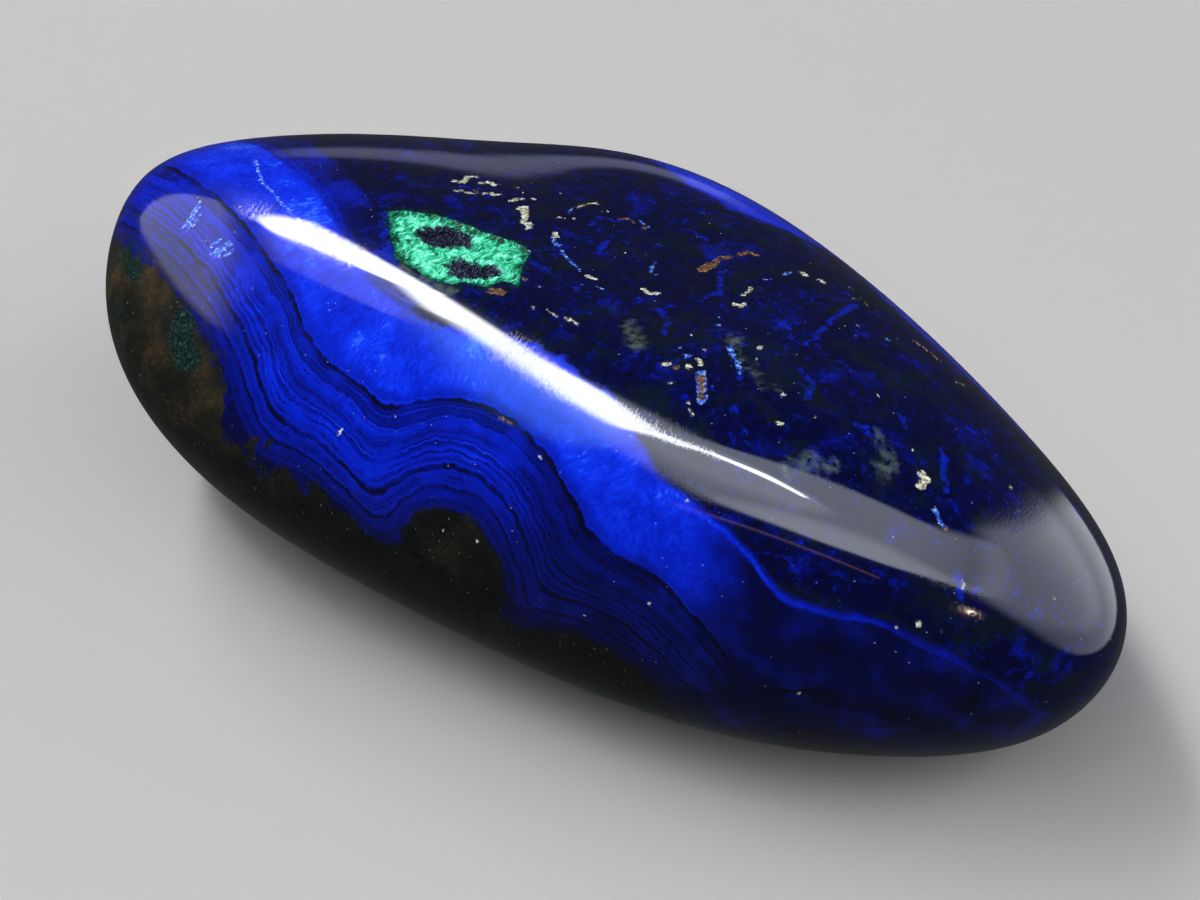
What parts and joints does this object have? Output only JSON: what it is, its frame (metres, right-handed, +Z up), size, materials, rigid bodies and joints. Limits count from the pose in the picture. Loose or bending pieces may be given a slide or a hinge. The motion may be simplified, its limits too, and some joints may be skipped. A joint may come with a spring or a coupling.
{
  "type": "azurite specimen",
  "caption": "Polished freeform pebble of banded blue azurite on brown matrix, with a green malachite patch, resting on a ground flat.",
  "frame": {"origin": "middle of the bounding box at the level of the surface the stone rests on", "axes": "+X along the stone from its blunt matrix end to its narrow tip, +Y across it away from the steep banded side, +Z up"},
  "size_m": [0.0652, 0.0346, 0.0227],
  "materials": {
    "azurite": "polished"
  },
  "bodies": {
    "root": {"azurite_stone": "azurite"}
  },
  "joints": []
}
